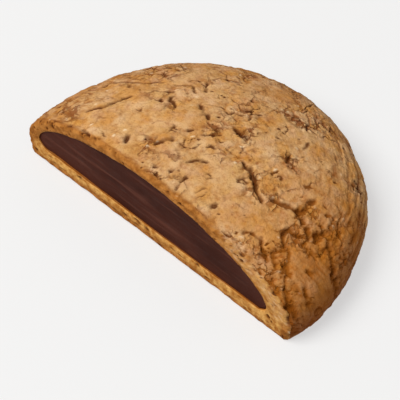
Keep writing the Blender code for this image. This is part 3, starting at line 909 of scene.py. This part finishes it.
class Recipe:
    """A small wrapper that adds nodes to a material and links them in one call."""

    def __init__(self, name):
        self.material = bpy.data.materials.new(name)
        self.material.use_nodes = True
        self.tree = self.material.node_tree
        self.shader = self.tree.nodes["Principled BSDF"]
        self.place = self.tree.nodes.new("ShaderNodeTexCoord").outputs["Object"]

    def put(self, socket, value):
        """Links an output to a socket, or sets a plain value on it."""
        if isinstance(value, bpy.types.NodeSocket):
            self.tree.links.new(value, socket)
        else:
            socket.default_value = value

    def paint(self, name, value):
        """Gives a value or an output to the shader's own socket of this name."""
        self.put(self.shader.inputs[name], value)

    def mask(self, name):
        """The numbers that the mesh carries under this name."""
        node = self.tree.nodes.new("ShaderNodeAttribute")
        node.attribute_name = name
        return node.outputs["Fac"]

    def along(self, axis):
        """The place that is painted, along X, Y or Z."""
        node = self.tree.nodes.new("ShaderNodeSeparateXYZ")
        self.put(node.inputs[0], self.place)
        return node.outputs[axis]

    def noise(self, scale, detail=3.0, squeeze=(1, 1, 1), output="Fac"):
        """Noise in object space, with a scale in waves for each metre."""
        mapping = self.tree.nodes.new("ShaderNodeMapping")
        mapping.inputs["Scale"].default_value = squeeze
        self.put(mapping.inputs["Vector"], self.place)
        node = self.tree.nodes.new("ShaderNodeTexNoise")
        node.inputs["Scale"].default_value = scale
        node.inputs["Detail"].default_value = detail
        self.put(node.inputs["Vector"], mapping.outputs["Vector"])
        return node.outputs[output]

    def spread(self, value, low, high, to_low=0.0, to_high=1.0):
        """Maps a range to another, and clamps it."""
        node = self.tree.nodes.new("ShaderNodeMapRange")
        names = ("From Min", "From Max", "To Min", "To Max")
        for socket, number in zip(names, (low, high, to_low, to_high)):
            node.inputs[socket].default_value = number
        self.put(node.inputs["Value"], value)
        return node.outputs["Result"]

    def maths(self, operation, first, second):
        """One sum on two numbers."""
        node = self.tree.nodes.new("ShaderNodeMath")
        node.operation = operation
        self.put(node.inputs[0], first)
        self.put(node.inputs[1], second)
        return node.outputs[0]

    def times(self, first, second):
        """Two masks, or a mask and a share, multiplied."""
        return self.maths("MULTIPLY", first, second)

    def mix(self, share, first, second):
        """One colour blended into another."""
        node = self.tree.nodes.new("ShaderNodeMix")
        node.data_type = "RGBA"
        self.put(node.inputs[0], share)
        self.put(node.inputs[6], first)
        self.put(node.inputs[7], second)
        return node.outputs[2]

    def tint(self, colour, mask, share, shade):
        """The colour with a share of a shade over it where the mask is 1."""
        return self.mix(self.times(mask, share), colour, linear(*shade))

    def patchy(self, scale, detail, low, high, first, second):
        """Two shades in patches, by noise that goes from the first to the second between low and high."""
        return self.mix(self.spread(self.noise(scale, detail), low, high), linear(*first), linear(*second))

    def hair_cracks(self, size, width, share):
        """1 along the ragged borders of cells of this size in metres, for a share of their length."""
        pushed_place = self.tree.nodes.new("ShaderNodeVectorMath")
        pushed_place.operation = "MULTIPLY_ADD"
        self.put(pushed_place.inputs[0], self.noise(1.6 / size, 4.0, output="Color"))
        pushed_place.inputs[1].default_value = (size, size, size)
        self.put(pushed_place.inputs[2], self.place)
        cells = self.tree.nodes.new("ShaderNodeTexVoronoi")
        cells.feature = "DISTANCE_TO_EDGE"
        cells.inputs["Scale"].default_value = 1 / size
        self.put(cells.inputs["Vector"], pushed_place.outputs["Vector"])
        line = self.spread(cells.outputs["Distance"], 0.25 * width / size, 0.60 * width / size, 1.0, 0.0)
        open_here = self.spread(self.noise(0.9 / size, 2.0), 0.62 - 0.24 * share, 0.70 - 0.24 * share)
        return self.times(line, open_here)

    def bump(self, value, distance, strength=1.0, under=None):
        """A bump that a value raises by a distance in metres, on top of another."""
        node = self.tree.nodes.new("ShaderNodeBump")
        node.inputs["Distance"].default_value = distance
        node.inputs["Strength"].default_value = strength
        self.put(node.inputs["Height"], value)
        if under is not None:
            self.put(node.inputs["Normal"], under)
        return node.outputs["Normal"]


# %% [markdown]
# ## Baked dough
# Dough browns where it is dry, thin or close to the hot tray. A painted picture could show that, but it would
# not follow the cracks, so the colour is laid on in coats. It starts from pale skin, goes browner where
# flakes lie low, and is mottled by patches that baked differently. The cut has the tone of crumb with a
# browned rim. Painted shade darkens pits, cracks, pores, ledges and fibre troughs, and flecks are pale
# crumbs, partly painted highlights. Over the skin come washes that are partly the oven's browning and partly
# painted shade: the right side, turned from the key, the low sides and the foot. They thin out at the back
# right as painted light where the key falls. The underside is plain and mottled. A fine bump adds what is
# smaller than the mesh.

# %% Colour of the skin and of the cut
# Two shades in patches: scale and detail of the noise, the range that it fades over, and both shades.
PALE_SKIN = (300, 4.0, 0.32, 0.68, (213, 167, 107), (230, 193, 147))
BROWN_SKIN = (800, 3.0, 0.35, 0.65, (188, 124, 54), (218, 162, 90))
CRUMB = (950, 3.0, 0.36, 0.64, (164, 104, 42), (214, 162, 90))
RIND = (900, 2.0, 0.38, 0.62, (138, 82, 30), (178, 116, 54))
# Patches over the skin: scale and detail of the noise, the range that it fades over, share and shade.
SKIN_PATCHES = {
    "mottle": (700, 4.0, 0.50, 0.68, 0.50, (176, 116, 58)),
    "golden": (270, 2.0, 0.52, 0.62, 0.50, (212, 148, 66)),
    "rosy": (370, 2.0, 0.53, 0.63, 0.26, (216, 172, 138)),
    "clouds": (130, 2.0, 0.50, 0.66, 0.30, (184, 116, 46)),
}
# Painted shade in the troughs of the fibres: share and colour.
FIBRE_TROUGH_SHADE = (0.6, (126, 64, 14))
# The values of a mask over which its coat goes from none to full.
TONE_RANGE, FIBRE_RANGE = (0.15, 0.80), (0.1, -0.6)


def skin_and_cut_colour(dough):
    """Pale and brown skin by the tone of the flakes, patches and painted shade in the fibres' troughs over
    it, and then the cut.
    """
    tone = dough.spread(dough.mask("tone"), *TONE_RANGE)
    colour = dough.mix(tone, dough.patchy(*BROWN_SKIN), dough.patchy(*PALE_SKIN))
    for scale, detail, low, high, share, shade in SKIN_PATCHES.values():
        colour = dough.tint(colour, dough.spread(dough.noise(scale, detail), low, high), share, shade)
    # Painted shade in the troughs of the fibres.
    colour = dough.tint(colour, dough.spread(dough.mask("fibre"), *FIBRE_RANGE), *FIBRE_TROUGH_SHADE)
    colour = dough.mix(dough.mask("cut"), colour, dough.patchy(*CRUMB))
    return dough.mix(dough.mask("rind"), colour, dough.patchy(*RIND))


# %% Specks, painted shade on ledges, in hair cracks and in clefts, and pale flecks that are partly painted highlights: share and colour
SPECK_PAINT = (0.32, (142, 78, 22))
LEDGE_SHADE = (0.75, (130, 64, 18))
HAIR_CRACK_SHADE = (0.80, (112, 52, 10))
FLECK_AND_HIGHLIGHT = (0.85, (240, 212, 172))
CLEFT_SHADE = (0.92, (84, 40, 12))
SPECK_NOISE, SPECK_RANGE, CLEFT_RANGE = (2300, 2.0), (0.56, 0.68), (0.06, 0.62)
# Cracks finer than the mesh: cell size, width, share, and the range of brokenness over which they come in.
HAIR_KINDS = ((0.0044, 0.00045, 0.6, -0.10, 0.45), (0.0022, 0.00030, 0.7, 0.25, 0.65))


def hair_marks(dough, on_skin):
    """1 along cracks finer than the mesh: wide ones almost anywhere, narrow ones where the skin is broken."""
    kinds = []
    for size, width, share, low, high in HAIR_KINDS:
        lines = dough.hair_cracks(size, width, share)
        kinds.append(dough.times(lines, dough.spread(dough.mask("broken"), low, high)))
    return dough.times(dough.maths("MAXIMUM", *kinds), on_skin)


def marked_colour(dough, colour, hair):
    """The colour with all small marks painted over it: specks, painted shade on ledges and in hair cracks,
    pale flecks that are partly painted highlights, and last the darkest, painted shade in clefts, pits and
    pores.
    """
    colour = dough.tint(colour, dough.spread(dough.noise(*SPECK_NOISE), *SPECK_RANGE), *SPECK_PAINT)
    # Painted shade along the ledges and in the grooves between flakes.
    colour = dough.tint(colour, dough.mask("edge"), *LEDGE_SHADE)
    # Painted shade in hair cracks finer than the mesh.
    colour = dough.tint(colour, hair, *HAIR_CRACK_SHADE)
    # Pale crumbs and grains, partly painted highlights.
    colour = dough.tint(colour, dough.mask("fleck"), *FLECK_AND_HIGHLIGHT)
    # Painted shade in clefts, pits, gaps and pores, the darkest coat.
    return dough.tint(colour, dough.spread(dough.mask("deep"), *CLEFT_RANGE), *CLEFT_SHADE)


# %% The oven's browning, and painted shade
# Each wash, partly oven browning and partly painted shade: the axis, where it starts, where it is full, share
# and shade.
BROWNING_AND_SHADE = {
    "right_side": ("X", 0.0100, 0.0280, 0.46, (194, 114, 22)),
    "low_sides": ("Z", 0.0142, 0.0010, 0.74, (136, 68, 10)),
    "foot": ("Z", 0.0092, 0.0010, 0.60, (96, 44, 6)),
}
# Painted light at the back right: where it starts and is full along X and along Y, and the share of washes
# left.
BACK_RIGHT_X, BACK_RIGHT_Y, WASH_LEFT_IN_PAINTED_LIGHT = (0.0000, 0.0140), (0.0125, 0.0200), 0.15
UNDERSIDE = (600, 5.0, 0.30, 0.70, (140, 86, 42), (186, 130, 76))
UNDERSIDE_ABOVE, UNDERSIDE_FULL, UNDERSIDE_SHARE = 0.0009, 0.0002, 0.85


def browned_and_shaded_colour(dough, colour, on_skin):
    """The colour with washes over the skin, partly oven browning and partly painted shade, fewer at the back
    right as painted light, and the mottled tone of the underside.
    """
    right = dough.spread(dough.along("X"), *BACK_RIGHT_X)
    back = dough.spread(dough.along("Y"), *BACK_RIGHT_Y)
    # Painted light: the washes thin out at the back right, where the key falls.
    wash_left_by_painted_light = dough.spread(dough.times(right, back), 0, 1, 1.0, WASH_LEFT_IN_PAINTED_LIGHT)
    for axis, start, full, share, shade in BROWNING_AND_SHADE.values():
        wash = dough.times(dough.spread(dough.along(axis), start, full), on_skin)
        # Each wash is partly oven browning and partly painted shade.
        colour = dough.tint(colour, dough.times(wash, wash_left_by_painted_light), share, shade)
    below = dough.times(dough.spread(dough.along("Z"), UNDERSIDE_ABOVE, UNDERSIDE_FULL), on_skin)
    return dough.mix(dough.times(below, UNDERSIDE_SHARE), colour, dough.patchy(*UNDERSIDE))


# %% Baked dough
BROWN_ROUGHNESS, PALE_ROUGHNESS, DOUGH_SHINE = 0.88, 0.70, 0.04
# Three bumps: depth in metres and strength. Two of them come from noise, with its scale and detail.
GRIT_BUMP, CRUMB_BUMP, HAIR_BUMP = (0.00015, 0.8), (0.00016, 0.8), (0.00016, 1.0)
GRIT_NOISE, CRUMB_NOISE = (3200, 3.0), (1400, 2.0)
SKIN_RANGE = (0.3, 0.0)


def dough_material():
    """Light brown skin in pale and brown patches, hair cracks and clefts with painted shade, pale flecks that
    are partly painted highlights, and sides that are browned and darkened by painted shade.
    """
    dough = Recipe("baked_dough")
    on_skin = dough.spread(dough.mask("cut"), *SKIN_RANGE)
    hair = hair_marks(dough, on_skin)
    colour = marked_colour(dough, skin_and_cut_colour(dough), hair)
    dough.paint("Base Color", browned_and_shaded_colour(dough, colour, on_skin))
    dough.paint("Roughness", dough.spread(dough.mask("tone"), 0, 1, BROWN_ROUGHNESS, PALE_ROUGHNESS))
    dough.paint("Specular IOR Level", DOUGH_SHINE)
    grit = dough.bump(dough.noise(*GRIT_NOISE), *GRIT_BUMP)
    crumb = dough.bump(dough.noise(*CRUMB_NOISE), *CRUMB_BUMP, grit)
    dough.paint("Normal", dough.bump(dough.maths("SUBTRACT", 1.0, hair), *HAIR_BUMP, crumb))
    return dough.material


# %% [markdown]
# ## Chocolate
# The filling is a soft chocolate cream: very dark, with a dull, waxy sheen, and a little paler where the
# knife dragged it. One even colour would look like plastic, so long clouds of a second brown vary it, and the
# mask of the smears lays a paler coat along their grooves.

# %% Chocolate
SMEAR_PAINT = (0.6, (94, 54, 42))
DARK_CHOCOLATE, MILD_CHOCOLATE, CHOCOLATE_SHINE = (56, 26, 18), (72, 36, 26), 0.02
WAXY_ROUGHNESS, DULL_ROUGHNESS = 0.42, 0.56
CHOCOLATE_BUMP = (0.00005, 0.5)
CLOUD_NOISE, CLOUD_RANGE = (260, 3.0, (0.25, 1, 1)), (0.35, 0.65)
DULL_NOISE, DULL_RANGE, GRAIN_NOISE = (700, 2.0), (0.3, 0.7), (1500, 3.0)
SMEAR_RANGE = (0.15, 0.75)


def chocolate_material():
    """Dark, slightly waxy chocolate with paler smears along the cut."""
    chocolate = Recipe("chocolate_filling")
    clouds = chocolate.spread(chocolate.noise(*CLOUD_NOISE), *CLOUD_RANGE)
    colour = chocolate.mix(clouds, linear(*DARK_CHOCOLATE), linear(*MILD_CHOCOLATE))
    smears = chocolate.spread(chocolate.mask("smear"), *SMEAR_RANGE)
    chocolate.paint("Base Color", chocolate.tint(colour, smears, *SMEAR_PAINT))
    dull = chocolate.spread(chocolate.noise(*DULL_NOISE), *DULL_RANGE, WAXY_ROUGHNESS, DULL_ROUGHNESS)
    chocolate.paint("Roughness", dull)
    chocolate.paint("Specular IOR Level", CHOCOLATE_SHINE)
    chocolate.paint("Normal", chocolate.bump(chocolate.noise(*GRAIN_NOISE), *CHOCOLATE_BUMP))
    return chocolate.material


crust.data.materials.append(dough_material())
filling.data.materials.append(chocolate_material())
print("materials", crust.data.materials[0].name, filling.data.materials[0].name)

# %% [markdown]
# ## Floor and hand-over
# The floor is a light table, as for catalogue pictures: a plain pale sheet just under the cookie that glows,
# so that shadows stay faint. Each piece rides on the one body of the model and stands for the solid that it
# replaces.

# %% Floor
FLOOR_HALF_SIDE = 1.5
FLOOR_DROP = 0.00005
FLOOR_SHADE, GLOW_SHADE = (150, 150, 150), (255, 255, 255)
FLOOR_ROUGHNESS, FLOOR_GLOW = 0.9, 0.55
corner_signs = ((-1, -1), (1, -1), (1, 1), (-1, 1))
corners = [(x * FLOOR_HALF_SIDE, y * FLOOR_HALF_SIDE, -FLOOR_DROP) for x, y in corner_signs]
floor_mesh = bpy.data.meshes.new("floor")
floor_mesh.from_pydata(corners, [], [(0, 1, 2, 3)])
floor = add_object("floor", floor_mesh)
floor_paint = Recipe("pale_floor")
floor_paint.paint("Base Color", linear(*FLOOR_SHADE))
floor_paint.paint("Roughness", FLOOR_ROUGHNESS)
floor_paint.paint("Emission Color", linear(*GLOW_SHADE))
floor_paint.paint("Emission Strength", FLOOR_GLOW)
floor.data.materials.append(floor_paint.material)

# %% Hand the pieces to the frame
for piece, node, slot in ((crust, "crust", "baked_dough"), (filling, "filling", "chocolate_filling")):
    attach(piece, "root")
    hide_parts(node)
